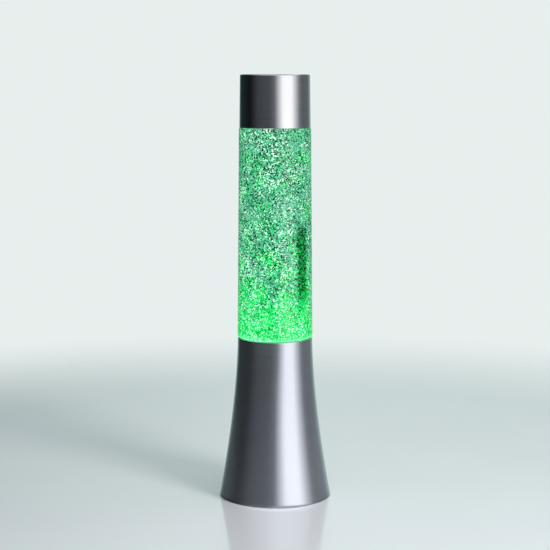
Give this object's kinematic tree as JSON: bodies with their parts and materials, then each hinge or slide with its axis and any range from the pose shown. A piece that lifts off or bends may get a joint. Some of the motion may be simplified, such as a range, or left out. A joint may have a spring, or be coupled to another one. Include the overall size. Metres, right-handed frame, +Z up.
{
  "type": "glitter lamp",
  "caption": "Tall glitter lamp: flared satin metal base with battery LEDs, lift-out glass bottle of liquid and glitter, and a slip-on metal cap.",
  "frame": {"origin": "centre of the lamp's axis on the surface that the rubber feet stand on", "axes": "+Z up along the lamp's axis, front towards -Y, switch towards +Y under the base"},
  "size_m": [0.1044, 0.1044, 0.395],
  "materials": {
    "satin_metal": "satin spun metal, fine grain",
    "bottle_glass": "clear polished glass",
    "lamp_liquid": "clear green-lit liquid",
    "glitter": "bright metallised flakes",
    "black_plastic": "fine moulded texture",
    "white_plastic": "smooth moulded",
    "window_plastic": "frosted diffuser",
    "reflector_film": "bright metallised plastic",
    "board_laminate": "white solder mask",
    "led_lens": "clear green lens",
    "resistor_body": "lacquered",
    "plated_steel": "zinc or nickel plate",
    "closure_steel": "lacquered tinplate",
    "seal_plastic": "soft sealing liner",
    "cell_jacket": "wrapped metal can, no text",
    "black_rubber": "matte",
    "red_insulation": "wire insulation",
    "black_insulation": "wire insulation"
  },
  "bodies": {
    "base": {"base_shell": "satin_metal", "bottle_socket": "black_plastic", "inner_cone": "black_plastic", "cushion_ring": "black_rubber", "light_window": "window_plastic", "reflector": "reflector_film", "led_board": "board_laminate", "led_1": "led_lens", "led_2": "led_lens", "led_3": "led_lens", "resistor": "resistor_body", "bottom_plate": "black_plastic", "battery_box": "black_plastic", "cell_1": "cell_jacket", "cell_2": "cell_jacket", "cell_3": "cell_jacket", "cell_spring_1": "plated_steel", "cell_spring_2": "plated_steel", "cell_spring_3": "plated_steel", "contact_plate_1": "plated_steel", "contact_plate_2": "plated_steel", "contact_plate_3": "plated_steel", "contact_plate_4": "plated_steel", "switch_body": "plated_steel", "wire_battery": "red_insulation", "wire_switch": "red_insulation", "wire_return": "black_insulation", "plate_screw_1": "plated_steel", "plate_screw_2": "plated_steel", "plate_screw_3": "plated_steel", "socket_screw_1": "plated_steel", "socket_screw_2": "plated_steel", "socket_screw_3": "plated_steel", "board_screw_1": "plated_steel", "board_screw_2": "plated_steel", "box_screw_1": "plated_steel", "box_screw_2": "plated_steel", "rubber_foot_1": "black_rubber", "rubber_foot_2": "black_rubber", "rubber_foot_3": "black_rubber", "rubber_foot_4": "black_rubber"},
    "battery_door": {"battery_door": "black_plastic"},
    "switch_knob": {"switch_knob": "white_plastic"},
    "bottle": {"bottle": "bottle_glass", "bottle_liquid": "lamp_liquid", "glitter_bed": "glitter", "crown_closure": "closure_steel", "crown_seal": "seal_plastic"},
    "cap": {"top_cap": "satin_metal"}
  },
  "joints": [
    {"name": "bottle_lift", "type": "slide", "parent": "base", "child": "bottle", "axis": [0, 0, 1], "range_m": [0, 0.12]},
    {"name": "cap_lift", "type": "slide", "parent": "bottle", "child": "cap", "axis": [0, 0, 1], "range_m": [0, 0.07]},
    {"name": "battery_door_hinge", "type": "hinge", "parent": "base", "child": "battery_door", "pos_m": [0, -0.03015, 0.0022], "axis": [-1, 0, 0], "range_deg": [0, 80]},
    {"name": "switch_slide", "type": "slide", "parent": "base", "child": "switch_knob", "axis": [1, 0, 0], "range_m": [0, 0.003]}
  ]
}
